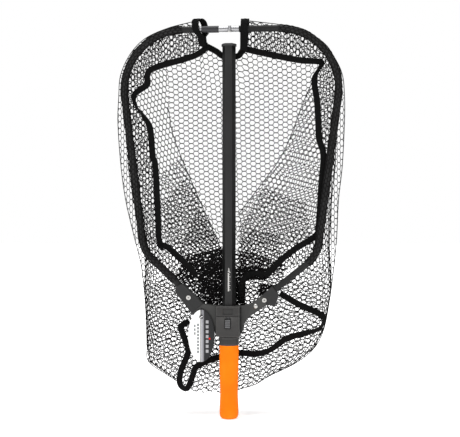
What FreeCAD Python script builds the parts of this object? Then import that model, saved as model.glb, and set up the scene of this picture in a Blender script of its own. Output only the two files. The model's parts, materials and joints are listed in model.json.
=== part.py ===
import FreeCAD, Part
import math
import os

from FreeCAD import Vector

# Folding landing net, millimetres. The handle stands upright on its butt, the hoop is above
# it in the XZ plane, and the net bag hangs behind the hoop, on the +Y side. The origin is the
# centre of the flat end of the grip, and the handle tube runs up the Z axis.

# --- driving dimensions -------------------------------------------------------------------

# handle
tube_flats = 22.0
tube_corner_radius = 1.6
tube_wall = 1.5
tube_bottom = 12.0
tube_top = 688.0
cap_flats = 25.0
cap_thickness = 5.0
cap_plug_length = 18.0
grip_length = 136.0
grip_radius = 17.9
grip_waist_radius = 16.6
grip_end_radius = 10.0
collar_top = 152.5
collar_top_radius = 18.8
collar_waist_radius = 18.5
collar_cone_height = 12.0
collar_screw_radius = 1.6
collar_screw_height = 143.0

# yoke, which slides on the handle tube
yoke_bottom = 153.5
yoke_top = 209.0
yoke_half_width = 21.5
yoke_back = 16.0
arm_half_thickness = 9.0
bushing_wall = 1.6
bushing_clearance = 0.08
cover_front = -25.0
cover_wall = 2.0
cap_band_bottom = 190.5
cover_gap = 0.15
screw_radius = 1.5
screw_head_radius = 2.9
screw_inset = 3.9
screw_levels = (161.0, 200.0)

# brake lever in the yoke
lever_pivot_y = -20.0
lever_pivot_z = 188.0
lever_pin_radius = 1.25
lever_half_width = 4.6
lever_thickness = 3.0
lever_bottom = 169.5
lever_top = 203.5
thumb_top = 184.5
thumb_grooves = (172.5, 175.5, 178.5, 181.5)
slot_half_width = 5.6
slot_bottom = 168.0
window_half_width = 9.0
window_bottom = 194.0
window_top = 204.5
shoe_gap = 0.06
spring_half_span = 5.5
spring_half_width = 2.5
spring_thickness = 0.4

# hoop
hoop_top = 720.5
hoop_tube_radius = 6.0
hoop_tube_bore = 4.8
hoop_corner_radius = 111.0
hoop_elbow_radius = 60.0
left_tube_start = -56.0
right_tube_start = 18.5
left_corner = (-211.5, hoop_top)
left_elbow = (-160.0, 309.0)
left_bend = (-104.0, 258.0)
left_tube_end = (-68.0, 214.5)
right_corner = (217.7, hoop_top)
right_elbow = (162.4, 301.6)
right_tube_end = (62.5, 221.0)

# tip hinge and its lock collar
ferrule_radius = 5.5
spigot_length = 20.0
spigot_radius = 4.72
hinge_x = 1.5
hinge_y = -6.2
hinge_pin_radius = 1.5
hinge_pin_clearance = 0.05
knuckle_radius = 3.0
knuckle_height = 4.9
lap_left = -5.4
lap_right = 6.2
lap_gap = 0.1
hinge_head_radius = 3.6
hinge_head_thickness = 1.5
collar_left = -51.2
collar_right = -18.9
collar_bore = 5.56
collar_radius = 6.4

# sockets at the ends of the arms
parting_upper = (-47.0, 212.0)
parting_lower = (-68.5, 194.0)
parting_gap = 0.3
socket_rivet_radius = 2.3
socket_rivet_flange = 4.2
left_rivet = (-74.5, 223.5)
dome_rivet = (49.8, 208.7)
right_rivet = (66.0, 219.8)
tongue_half_thickness = 5.0

# net bag and its tapes
bag_wall = 3.0
bag_front = 10.0
bag_side_share = 0.45
bag_mouth_depth = 15.5
tape_half_width = 4.6
tape_thickness = 1.0
rim_tape_front = 6.5
top_tape_front = 13.6
bag_tape_front = 18.4
loop_half_depth = 8.2
loop_left_lean = 14.0

# hang tag
tag_x = -50.0
tie_z = 190.0
tie_wire_radius = 0.7
tag_front = -12.2
tag_thickness = 0.8
tag_half_width = 24.5
tag_height = 96.0
eyelet_bore = 2.2
eyelet_radius = 4.0
eyelet_below_top = 13.0

AXIS_X = Vector(1, 0, 0)
AXIS_Y = Vector(0, 1, 0)
AXIS_Z = Vector(0, 0, 1)


# --- shape helpers ------------------------------------------------------------------------

def rounded_path(points, radii, closed=False):
    """Straight runs between the points, joined by tangent arcs of the given radii."""
    count = len(points)
    if isinstance(radii, (int, float)):
        radii = [radii] * count
    corners = range(count) if closed else range(1, count - 1)
    edges = []
    last = None if closed else points[0]
    first = None
    for i in corners:
        back = (points[i - 1] - points[i]).normalize()
        ahead = (points[(i + 1) % count] - points[i]).normalize()
        half_turn = math.acos(max(-1.0, min(1.0, -back.dot(ahead)))) / 2
        reach = radii[i] * math.tan(half_turn)
        entry = points[i] + back * reach
        leave = points[i] + ahead * reach
        inward = (back + ahead).normalize()
        middle = points[i] + inward * (radii[i] / math.cos(half_turn) - radii[i])
        if last is not None and last.distanceToPoint(entry) > 1e-6:
            edges.append(Part.LineSegment(last, entry).toShape())
        edges.append(Part.Arc(entry, middle, leave).toShape())
        first = entry if first is None else first
        last = leave
    end = first if closed else points[-1]
    if last.distanceToPoint(end) > 1e-6:
        edges.append(Part.LineSegment(last, end).toShape())
    return Part.Wire(edges)


def plate(outline, low_y, high_y, radius=0.0):
    """A plate with an outline in XZ, from low_y to high_y."""
    points = [Vector(x, low_y, z) for x, z in outline]
    if radius:
        wire = rounded_path(points, radius, closed=True)
    else:
        wire = Part.makePolygon(points + points[:1])
    return Part.Face(wire).extrude(Vector(0, high_y - low_y, 0))


def hexagon(flats, low_z, high_z, corner_radius=tube_corner_radius):
    """An upright hexagonal bar with flats to the front and the back."""
    reach = flats / math.sqrt(3)
    points = []
    for k in range(6):
        turn = math.radians(60 * k)
        points.append(Vector(reach * math.cos(turn), reach * math.sin(turn), low_z))
    wire = rounded_path(points, corner_radius, closed=True)
    return Part.Face(wire).extrude(Vector(0, 0, high_z - low_z))


def box(low, high):
    size = [b - a for a, b in zip(low, high)]
    return Part.makeBox(size[0], size[1], size[2], Vector(*low))


def rod(radius, start, end):
    """A round bar from start to end."""
    run = end - start
    return Part.makeCylinder(radius, run.Length, start, run)


def pipe(path, radius):
    """A round bar along a path of straight runs and tangent arcs."""
    edge = path.OrderedEdges[0]
    ring = Part.makeCircle(radius, edge.valueAt(edge.FirstParameter),
                           edge.tangentAt(edge.FirstParameter))
    return path.makePipeShell([Part.Wire(ring)], True, True)


def band(points, low_y, thickness, half_width=tape_half_width):
    """A flat tape lying in an XZ plane along the points."""
    pieces = []
    for (xa, za), (xb, zb) in zip(points, points[1:]):
        run = math.hypot(xb - xa, zb - za)
        ox = -(zb - za) / run * half_width
        oz = (xb - xa) / run * half_width
        outline = [(xa + ox, za + oz), (xb + ox, zb + oz), (xb - ox, zb - oz), (xa - ox, za - oz)]
        pieces.append(plate(outline, low_y, low_y + thickness))
    for x, z in points[1:-1]:
        pieces.append(rod(half_width, Vector(x, low_y, z), Vector(x, low_y + thickness, z)))
    return pieces[0].multiFuse(pieces[1:]).removeSplitter()


def through_rivet(place, flange_front, flange_back, dome):
    """A rivet along Y with a head at each side, hollow unless it has a dome."""
    x, z = place
    shank = rod(socket_rivet_radius, Vector(x, flange_front, z), Vector(x, flange_back, z))
    back = rod(socket_rivet_flange, Vector(x, flange_back, z), Vector(x, flange_back + 0.9, z))
    if dome:
        ball_radius = 5.4
        sink = math.sqrt(ball_radius ** 2 - socket_rivet_flange ** 2)
        ball = Part.makeSphere(ball_radius, Vector(x, flange_front + sink, z))
        keep = box((x - 9, flange_front - 6, z - 9), (x + 9, flange_front, z + 9))
        return shank.fuse([back, ball.common(keep)]).removeSplitter()
    front = rod(socket_rivet_flange, Vector(x, flange_front - 0.9, z), Vector(x, flange_front, z))
    whole = shank.fuse([back, front]).removeSplitter()
    return whole.cut(rod(1.3, Vector(x, flange_front - 2, z), Vector(x, flange_back + 2, z)))


# --- handle -------------------------------------------------------------------------------

def make_handle_tube():
    outer = hexagon(tube_flats, tube_bottom, tube_top)
    inner = hexagon(tube_flats - 2 * tube_wall, tube_bottom - 1, tube_top + 1, 0.8)
    return outer.cut(inner)


def make_tube_end_cap():
    flange = hexagon(cap_flats, tube_top, tube_top + cap_thickness, 3.0)
    top_edges = [e for e in flange.Edges if e.BoundBox.ZMin > tube_top + cap_thickness - 0.01]
    flange = flange.makeFillet(1.2, top_edges)
    plug = hexagon(tube_flats - 2 * tube_wall, tube_top - cap_plug_length, tube_top, 0.8)
    return flange.fuse(plug).removeSplitter()


def make_grip():
    profile = [
        Vector(0, 0, 0), Vector(grip_end_radius, 0, 0), Vector(16.2, 0, 4.0),
        Vector(17.5, 0, 12.0), Vector(grip_waist_radius, 0, 42.0), Vector(17.1, 0, 74.0),
        Vector(grip_radius, 0, grip_length - 22), Vector(grip_radius, 0, grip_length),
        Vector(0, 0, grip_length),
    ]
    side = Part.BSplineCurve()
    side.interpolate(profile[1:7])
    edges = [
        Part.LineSegment(profile[0], profile[1]).toShape(),
        side.toShape(),
        Part.LineSegment(profile[6], profile[7]).toShape(),
        Part.LineSegment(profile[7], profile[8]).toShape(),
        Part.LineSegment(profile[8], profile[0]).toShape(),
    ]
    body = Part.Face(Part.Wire(edges)).revolve(Vector(0, 0, 0), AXIS_Z, 360)
    return body.cut(hexagon(tube_flats, tube_bottom, grip_length + 1))


def make_butt_plug():
    return hexagon(tube_flats - 2 * tube_wall, tube_bottom, tube_bottom + 24, 0.8)


def make_grip_collar():
    step = grip_length + collar_cone_height
    low = Part.makeCone(collar_waist_radius - 0.8, collar_waist_radius, collar_cone_height,
                        Vector(0, 0, grip_length))
    high = Part.makeCylinder(collar_top_radius, collar_top - step, Vector(0, 0, step))
    ring = low.fuse(high).removeSplitter()
    return ring.cut(hexagon(tube_flats, grip_length - 1, collar_top + 1))


def make_collar_screw():
    z = collar_screw_height
    shank = rod(collar_screw_radius, Vector(0, tube_flats / 2 - tube_wall, z), Vector(0, 17.0, z))
    head = rod(3.0, Vector(0, 16.0, z), Vector(0, 18.6, z))
    return shank.fuse(head).removeSplitter()


# --- yoke ---------------------------------------------------------------------------------

left_arm_outline = [
    (-19.0, yoke_top - 0.5), (-30.0, 209.5), parting_upper, parting_lower,
    (-52.0, 195.0), (-36.0, 184.0), (-29.0, 174.0), (-27.5, 162.0), (-19.0, yoke_bottom),
]
right_arm_outline = [
    (19.0, yoke_top - 0.5), (37.0, 211.0), (49.0, 218.7), (61.5, 229.0), (71.5, 211.0),
    (55.0, 200.0), (36.0, 187.5), (28.5, 177.0), (27.0, 164.0), (19.0, yoke_bottom),
]
tongue_outline = [(44.0, 206.0), (49.0, 216.0), (66.0, 231.5), (76.5, 213.5), (54.0, 201.5)]


def window_for_shoe(clearance):
    return box((-lever_half_width - clearance, cover_front, window_bottom - 1.5 - clearance),
               (lever_half_width + clearance, -tube_flats / 2 + 1.5, window_top + clearance))


def make_yoke_body():
    core = box((-yoke_half_width, -16.0, yoke_bottom), (yoke_half_width, yoke_back, yoke_top))
    upright = [e for e in core.Edges if e.BoundBox.ZLength > 50 and e.BoundBox.YMin > 0]
    core = core.makeFillet(4.0, upright)
    left = plate(left_arm_outline, -arm_half_thickness, arm_half_thickness)
    right = plate(right_arm_outline, -arm_half_thickness, arm_half_thickness)
    lip_pad = plate([(-40.0, 207.0), parting_upper, parting_lower, (-52.0, 195.0)],
                    arm_half_thickness, arm_half_thickness + 3.0)
    lip = plate([(-44.0, 208.0), (-56.5, 224.0), (-79.5, 205.5), (-64.0, 194.0)],
                arm_half_thickness + parting_gap, arm_half_thickness + 3.0)
    body = core.fuse([left, right, lip_pad, lip]).removeSplitter()
    reach = tube_flats + 2 * (bushing_clearance + bushing_wall)
    body = body.cut(hexagon(reach, yoke_bottom - 1, yoke_top + 1))
    body = body.cut(plate(tongue_outline, -tongue_half_thickness, tongue_half_thickness))
    body = body.cut(through_rivet(dome_rivet, -arm_half_thickness, arm_half_thickness, True))
    hollow = rod(socket_rivet_radius, Vector(right_rivet[0], -20, right_rivet[1]),
                 Vector(right_rivet[0], 20, right_rivet[1]))
    body = body.cut(hollow).cut(pipe(right_path(), hoop_tube_radius))
    body = body.cut(window_for_shoe(0.8))
    for x, z in screw_places():
        body = body.cut(rod(screw_radius, Vector(x, -17, z), Vector(x, yoke_back + 1, z)))
    body = body.cut(rod(1.3, Vector(tag_x, -20, 203.0), Vector(tag_x, 20, 203.0)))
    return body


def make_slide_bushing():
    reach = tube_flats + 2 * bushing_clearance
    outer = hexagon(reach + 2 * bushing_wall, yoke_bottom, yoke_top)
    bushing = outer.cut(hexagon(reach, yoke_bottom - 1, yoke_top + 1))
    return bushing.cut(window_for_shoe(0.8))


def screw_places():
    """The four cover screws, near the corners of the yoke."""
    return [(side * (yoke_half_width - screw_inset), z) for side in (-1, 1)
            for z in screw_levels]


def make_cover_screws():
    screws = []
    for x, z in screw_places():
        shank = rod(screw_radius, Vector(x, -20.0, z), Vector(x, yoke_back, z))
        head = rod(screw_head_radius, Vector(x, yoke_back, z), Vector(x, yoke_back + 1.8, z))
        slot = box((x - 0.4, yoke_back + 1.1, z - 4), (x + 0.4, yoke_back + 3, z + 4))
        screws.append(shank.fuse(head).removeSplitter().cut(slot))
    return Part.makeCompound(screws)


def hollow_cover(low_z, high_z):
    """A front cover: rounded front edges, and a channel for the lever down the middle."""
    shell = box((-yoke_half_width, cover_front, low_z), (yoke_half_width, -16.0, high_z))
    front = [e for e in shell.Edges if e.BoundBox.YMax < cover_front + 0.01]
    shell = shell.makeFillet(1.5, front)
    channel = box((-window_half_width, cover_front + cover_wall, low_z - 1),
                  (window_half_width, -15.0, high_z + 1))
    shell = shell.cut(channel)
    for x, z in screw_places():
        shell = shell.cut(rod(screw_radius, Vector(x, -20.0, z), Vector(x, -15.0, z)))
    return shell


def make_lever_cover():
    cover = hollow_cover(yoke_bottom, cap_band_bottom - cover_gap)
    floor = box((-window_half_width, cover_front + cover_wall, yoke_bottom),
                (window_half_width, -16.0, yoke_bottom + 3.0))
    slot = box((-slot_half_width, cover_front - 1, slot_bottom),
               (slot_half_width, cover_front + cover_wall + 1, cap_band_bottom + 1))
    cover = cover.fuse(floor).removeSplitter().cut(slot)
    return cover.cut(rod(lever_pin_radius, Vector(-14, lever_pivot_y, lever_pivot_z),
                         Vector(14, lever_pivot_y, lever_pivot_z)))


def make_cap_band():
    cover = hollow_cover(cap_band_bottom, yoke_top)
    roof = box((-window_half_width, cover_front + cover_wall, yoke_top - 2.0),
               (window_half_width, -16.0, yoke_top))
    cover = cover.fuse(roof).removeSplitter()
    recess = box((-window_half_width, cover_front - 1, window_bottom),
                 (window_half_width, cover_front + 1.0, window_top))
    return cover.cut(recess)


def make_lever_pin():
    return rod(lever_pin_radius, Vector(-14, lever_pivot_y, lever_pivot_z),
               Vector(14, lever_pivot_y, lever_pivot_z))


def make_brake_lever():
    middle = lever_pivot_y
    bar = box((-lever_half_width, middle - lever_thickness / 2, lever_bottom),
              (lever_half_width, middle + lever_thickness / 2, lever_top))
    boss = rod(2.6, Vector(-lever_half_width, middle, lever_pivot_z),
               Vector(lever_half_width, middle, lever_pivot_z))
    thumb = box((-lever_half_width, cover_front - 2.0, lever_bottom),
                (lever_half_width, middle, thumb_top))
    front = [e for e in thumb.Edges if e.BoundBox.YMax < cover_front - 1.9]
    thumb = thumb.makeFillet(0.8, front)
    for z in thumb_grooves:
        thumb = thumb.cut(box((-9, cover_front - 3, z), (9, cover_front - 1.2, z + 1.0)))
    lever = bar.fuse([boss, thumb]).removeSplitter()
    return lever.cut(rod(lever_pin_radius + 0.05, Vector(-9, middle, lever_pivot_z),
                         Vector(9, middle, lever_pivot_z)))


def make_brake_shoe():
    front = lever_pivot_y + lever_thickness / 2
    back = -tube_flats / 2 - shoe_gap
    return box((-lever_half_width, front, window_bottom),
               (lever_half_width, back, window_top - 1.5))


def make_lever_spring():
    """A bowed leaf of spring steel between the yoke body and the back of the lever."""
    foot = -16.0 - 0.05
    crown = lever_pivot_y + lever_thickness / 2 + 0.05
    middle_z = (lever_bottom + lever_pivot_z) / 2 - 3.0

    def edge_points(inset):
        reach = spring_half_span - 2 * inset
        return [Vector(-spring_half_width, foot, middle_z - reach),
                Vector(-spring_half_width, crown + inset, middle_z),
                Vector(-spring_half_width, foot, middle_z + reach)]

    outer = edge_points(0.0)
    inner = edge_points(spring_thickness)
    wire = Part.Wire([Part.Arc(*outer).toShape(), Part.LineSegment(outer[2], inner[2]).toShape(),
                      Part.Arc(*reversed(inner)).toShape(),
                      Part.LineSegment(inner[0], outer[0]).toShape()])
    return Part.Face(wire).extrude(Vector(2 * spring_half_width, 0, 0))


# --- hoop ---------------------------------------------------------------------------------

def in_plane(points):
    return [Vector(x, 0, z) for x, z in points]


def left_path():
    start = (left_tube_start, hoop_top)
    points = in_plane([start, left_corner, left_elbow, left_bend, left_tube_end])
    return rounded_path(points, [0, hoop_corner_radius, hoop_elbow_radius, 90.0, 0])


def right_path():
    start = (right_tube_start, hoop_top)
    points = in_plane([start, right_corner, right_elbow, right_tube_end])
    return rounded_path(points, [0, hoop_corner_radius, hoop_elbow_radius, 0])


def rivet_shank(place):
    x, z = place
    return rod(socket_rivet_radius, Vector(x, -20, z), Vector(x, 20, z))


def make_left_hoop_tube():
    path = left_path()
    return pipe(path, hoop_tube_radius).cut(pipe(path, hoop_tube_bore)).cut(rivet_shank(left_rivet))


def make_right_hoop_tube():
    path = right_path()
    tube = pipe(path, hoop_tube_radius).cut(pipe(path, hoop_tube_bore))
    return tube.cut(rivet_shank(right_rivet))


def half_space(upper):
    low = hoop_top + lap_gap / 2 if upper else hoop_top - 30
    high = hoop_top + 30 if upper else hoop_top - lap_gap / 2
    return box((-40, -30, low), (40, 30, high))


def knuckle(upper):
    """One ear of the tip hinge, standing forward of the ferrule."""
    low = hoop_top + lap_gap / 2 if upper else hoop_top - knuckle_height
    height = knuckle_height - lap_gap / 2
    barrel = Part.makeCylinder(knuckle_radius, height, Vector(hinge_x, hinge_y, low))
    web = box((hinge_x - knuckle_radius, hinge_y, low),
              (hinge_x + knuckle_radius, -1.6, low + height))
    return barrel.fuse(web)


def make_left_ferrule():
    full = rod(ferrule_radius, Vector(left_tube_start, 0, hoop_top),
               Vector(lap_left - 0.2, 0, hoop_top))
    tongue = rod(ferrule_radius, Vector(lap_left - 3, 0, hoop_top),
                 Vector(lap_right - 0.2, 0, hoop_top)).common(half_space(False))
    spigot = rod(spigot_radius, Vector(left_tube_start - spigot_length, 0, hoop_top),
                 Vector(left_tube_start, 0, hoop_top))
    body = full.fuse([tongue, knuckle(False), spigot]).removeSplitter()
    hole = rod(hinge_pin_radius + hinge_pin_clearance, Vector(hinge_x, hinge_y, hoop_top - 20),
               Vector(hinge_x, hinge_y, hoop_top + 20))
    return body.cut(hole)


def make_right_ferrule():
    full = rod(ferrule_radius, Vector(lap_right, 0, hoop_top),
               Vector(right_tube_start, 0, hoop_top))
    tongue = rod(ferrule_radius, Vector(lap_left, 0, hoop_top),
                 Vector(lap_right + 3, 0, hoop_top)).common(half_space(True))
    spigot = rod(spigot_radius, Vector(right_tube_start, 0, hoop_top),
                 Vector(right_tube_start + spigot_length, 0, hoop_top))
    body = full.fuse([tongue, knuckle(True), spigot]).removeSplitter()
    hole = rod(hinge_pin_radius, Vector(hinge_x, hinge_y, hoop_top - 20),
               Vector(hinge_x, hinge_y, hoop_top + 20))
    return body.cut(hole)


def make_tip_hinge_pin():
    under = hoop_top - knuckle_height - 0.1
    shank = Part.makeCylinder(hinge_pin_radius, 2 * knuckle_height + 0.1,
                              Vector(hinge_x, hinge_y, under))
    head = Part.makeCylinder(hinge_head_radius, hinge_head_thickness,
                             Vector(hinge_x, hinge_y, under - hinge_head_thickness))
    return shank.fuse(head).removeSplitter()


def make_lock_collar():
    outer = rod(collar_radius, Vector(collar_left, 0, hoop_top), Vector(collar_right, 0, hoop_top))
    outer = outer.makeChamfer(0.5, [e for e in outer.Edges if e.BoundBox.XLength < 0.01])
    return outer.cut(rod(collar_bore, Vector(collar_left - 1, 0, hoop_top),
                         Vector(collar_right + 1, 0, hoop_top)))


# --- sockets ------------------------------------------------------------------------------

def make_left_socket():
    """The block on the left tube's end. It meets the yoke's left arm at a straight parting face."""
    along = Vector(parting_upper[0] - parting_lower[0], 0, parting_upper[1] - parting_lower[1])
    outward = Vector(-along.z, 0, along.x).normalize()
    gap = outward * parting_gap
    upper = Vector(parting_upper[0], 0, parting_upper[1]) + gap
    lower = Vector(parting_lower[0], 0, parting_lower[1]) + gap
    outline = [(upper.x, upper.z), (lower.x, lower.z), (-84.0, 214.0), (-99.5, 233.0),
               (-98.0, 243.5), (-86.0, 249.5)]
    block = plate(outline, -arm_half_thickness, arm_half_thickness)
    block = block.cut(pipe(left_path(), hoop_tube_radius))
    return block.cut(rivet_shank(left_rivet))


def make_right_socket():
    """The block on the right tube's end, with a tongue riveted inside the yoke's right arm."""
    outline = [(62.3, 229.3), (80.0, 245.5), (92.5, 229.0), (85.5, 209.5), (72.6, 210.8)]
    block = plate(outline, -arm_half_thickness, arm_half_thickness)
    block = block.fuse(plate(tongue_outline, -tongue_half_thickness, tongue_half_thickness))
    block = block.removeSplitter().cut(pipe(right_path(), hoop_tube_radius))
    return block.cut(rivet_shank(right_rivet)).cut(rivet_shank(dome_rivet))


def make_left_tube_rivet():
    return through_rivet(left_rivet, -arm_half_thickness, arm_half_thickness, False)


def make_right_tube_rivet():
    return through_rivet(right_rivet, -arm_half_thickness, arm_half_thickness, False)


def make_right_arm_rivet():
    return through_rivet(dome_rivet, -arm_half_thickness, arm_half_thickness, True)


# --- net bag ------------------------------------------------------------------------------

# height, left edge, right edge, front, back
bag_levels = [
    (50.0, -88.0, 30.0, 21.0, 62.0),
    (76.0, -115.0, 72.0, 21.0, 92.0),
    (106.0, -150.0, 124.0, 21.0, 112.0),
    (165.0, -157.0, 166.0, 21.0, 128.0),
    (240.0, -163.0, 180.0, 21.0, 128.0),
    (330.0, -176.0, 190.0, bag_front, 114.0),
    (430.0, -196.0, 196.0, bag_front, 96.0),
    (530.0, -207.0, 204.0, bag_front, 78.0),
    (610.0, -207.0, 206.0, bag_front, 62.0),
    (665.0, -192.0, 188.0, bag_front, 48.0),
    (703.0, -160.0, 154.0, bag_front, 37.0),
    (727.0, -105.0, 105.0, bag_front, 26.0),
]


def bag_volume(inset):
    """The space inside the bag's outer skin, taken in by the inset all over."""
    rings = []
    for level, (z, left, right, front, back) in enumerate(bag_levels):
        height = z
        if level == 0:
            height = z + inset
        elif level == len(bag_levels) - 1:
            height = z - inset
        side = front + bag_side_share * (back - front)
        start = Vector(left + inset, front + inset, height)
        end = Vector(right - inset, front + inset, height)
        left_back = Vector(left + inset, side, height)
        right_back = Vector(right - inset, side, height)
        middle = Vector((left + right) / 2, back - inset, height)
        rings.append(Part.Wire([Part.LineSegment(end, start).toShape(),
                                Part.LineSegment(start, left_back).toShape(),
                                Part.Arc(left_back, middle, right_back).toShape(),
                                Part.LineSegment(right_back, end).toShape()]))
    return Part.makeLoft(rings, True, True)


def mouth_outline(inset):
    return [
        (left_corner[0] + inset, hoop_top - inset),
        (left_elbow[0] + inset, left_elbow[1] + inset / 2),
        (-58.0, 232.0), (58.0, 232.0),
        (right_elbow[0] - inset, right_elbow[1] + inset / 2),
        (right_corner[0] - inset, hoop_top - inset),
    ]


def make_net_bag():
    shell = bag_volume(0.0).cut(bag_volume(bag_wall))
    points = [Vector(x, 0, z) for x, z in mouth_outline(18.0)]
    radii = [90.0, 45.0, 12.0, 12.0, 45.0, 90.0]
    mouth = Part.Face(rounded_path(points, radii, closed=True))
    shallow = mouth.extrude(Vector(0, bag_front + 2 * bag_wall, 0))
    deep = mouth.extrude(Vector(0, bag_front + bag_mouth_depth, 0))
    deep = deep.common(box((-250, 0, 200), (250, 30, 320)))
    return shell.cut(shallow).cut(deep)


def make_rim_tape_left():
    return band([(-46.0, 689.0), (-85.0, 671.5), (-134.0, 652.0), (-152.0, 633.0),
                 (-172.0, 606.0), (-174.0, 588.0), (-150.0, 545.0), (-145.0, 510.0),
                 (-135.0, 393.0), (-131.0, 322.0), (-118.0, 318.0), (-78.0, 282.0),
                 (-61.0, 262.0)], rim_tape_front, tape_thickness)


def make_rim_tape_right():
    return band([(42.0, 681.0), (124.0, 663.0), (163.0, 659.5), (170.0, 650.0), (159.0, 636.0),
                 (161.0, 576.0), (171.5, 493.0), (168.5, 424.0), (165.0, 357.0), (158.0, 337.0),
                 (111.0, 306.0), (65.0, 262.0)], rim_tape_front, tape_thickness)


def make_rim_tape_top():
    return band([(-38.0, 690.0), (-26.0, 683.5), (-11.0, 675.0), (14.0, 674.0), (19.0, 679.0)],
                top_tape_front, tape_thickness)


def make_bag_tape():
    return band([(93.0, 231.0), (124.0, 213.0), (170.0, 191.0), (173.0, 177.0), (160.0, 163.0),
                 (108.0, 148.0), (76.0, 126.0), (48.0, 118.0), (18.0, 119.0), (-20.0, 114.0),
                 (-61.0, 97.0), (-80.0, 60.0), (-87.0, 56.0), (-91.0, 65.0), (-88.0, 88.0),
                 (-81.0, 112.0), (-72.0, 124.0), (-81.0, 149.0), (-90.0, 164.0), (-86.0, 177.0),
                 (-77.0, 181.0)], bag_tape_front, tape_thickness)


def tape_loop(low_x, high_x, low_z, high_z, lean):
    """A tape sewn into a loop round the hoop tube. Its lower end is off to the side by lean."""
    def slanted(inset, extra, half_depth):
        outline = [(low_x + lean - extra, low_z + inset), (high_x + lean + extra, low_z + inset),
                   (high_x + extra, high_z - inset), (low_x - extra, high_z - inset)]
        return plate(outline, -half_depth, half_depth)

    ring = slanted(0.0, 0.0, loop_half_depth)
    return ring.cut(slanted(tape_thickness, 3.0, loop_half_depth - tape_thickness))


# --- hang tag -----------------------------------------------------------------------------

def make_tag_tie():
    """A thin closed loop of plastic through the hole in the yoke's left arm."""
    corners = [(-14.5, tie_z), (-14.5, 203.0), (13.5, 203.0), (13.5, tie_z)]
    points = [Vector(tag_x, y, z) for y, z in corners]
    path = rounded_path(points, 2.5, closed=True)
    return pipe(path, tie_wire_radius)


def tag_hole_z():
    return tie_z - eyelet_bore + tie_wire_radius + 0.05


def make_swing_tag():
    middle_z = tag_hole_z() + eyelet_below_top - tag_height / 2
    ellipse = Part.Ellipse(Vector(tag_x, tag_front, middle_z), tag_height / 2, tag_half_width)
    edge = ellipse.toShape()
    edge.rotate(Vector(tag_x, tag_front, middle_z), AXIS_X, 90)
    edge.rotate(Vector(tag_x, tag_front, middle_z), AXIS_Y, 90)
    card = Part.Face(Part.Wire(edge)).extrude(Vector(0, tag_thickness, 0))
    hole = rod(eyelet_radius - 1.2, Vector(tag_x, -20, tag_hole_z()), Vector(tag_x, 0, tag_hole_z()))
    return card.cut(hole)


def make_tag_eyelet():
    z = tag_hole_z()
    low = tag_front - 0.4
    high = tag_front + tag_thickness + 0.4
    tube = rod(eyelet_radius - 1.2, Vector(tag_x, low, z), Vector(tag_x, high, z))
    front = rod(eyelet_radius, Vector(tag_x, low, z), Vector(tag_x, tag_front, z))
    back = rod(eyelet_radius, Vector(tag_x, tag_front + tag_thickness, z), Vector(tag_x, high, z))
    ring = tube.fuse([front, back]).removeSplitter()
    return ring.cut(rod(eyelet_bore, Vector(tag_x, -20, z), Vector(tag_x, 0, z)))


# --- the assembly -------------------------------------------------------------------------

nodes = {
    "handle_tube": make_handle_tube().cut(make_collar_screw()),
    "tube_end_cap": make_tube_end_cap(),
    "grip": make_grip(),
    "butt_plug": make_butt_plug(),
    "grip_collar": make_grip_collar().cut(make_collar_screw()),
    "collar_screw": make_collar_screw(),
    "yoke_body": make_yoke_body(),
    "slide_bushing": make_slide_bushing(),
    "lever_cover": make_lever_cover(),
    "cap_band": make_cap_band(),
    "cover_screws": make_cover_screws(),
    "lever_pin": make_lever_pin(),
    "brake_lever": make_brake_lever(),
    "brake_shoe": make_brake_shoe(),
    "lever_spring": make_lever_spring(),
    "left_hoop_tube": make_left_hoop_tube(),
    "right_hoop_tube": make_right_hoop_tube(),
    "left_ferrule": make_left_ferrule(),
    "right_ferrule": make_right_ferrule(),
    "tip_hinge_pin": make_tip_hinge_pin(),
    "lock_collar": make_lock_collar(),
    "left_socket": make_left_socket(),
    "right_socket": make_right_socket(),
    "left_tube_rivet": make_left_tube_rivet(),
    "right_tube_rivet": make_right_tube_rivet(),
    "right_arm_rivet": make_right_arm_rivet(),
    "net_bag": make_net_bag(),
    "rim_tape_left": make_rim_tape_left(),
    "rim_tape_right": make_rim_tape_right(),
    "rim_tape_top": make_rim_tape_top(),
    "bag_tape": make_bag_tape(),
    "tape_loop_left": tape_loop(-69.0, -57.5, 694.0, 740.0, loop_left_lean),
    "tape_loop_right": tape_loop(23.5, 35.5, 685.0, 738.5, 0.0),
    "tag_tie": make_tag_tie(),
    "swing_tag": make_swing_tag(),
    "tag_eyelet": make_tag_eyelet(),
}

os.makedirs("parts", exist_ok=True)
for name, shape in nodes.items():
    solids = shape.Solids
    if len(solids) == 1:
        shape = solids[0]
    assert shape.isValid() and shape.Volume > 0, name
    shape.exportStep("parts/" + name + ".step")
    print(name, len(solids), round(shape.Volume, 1), shape.BoundBox)
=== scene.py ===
import json
import math
import random

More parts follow.
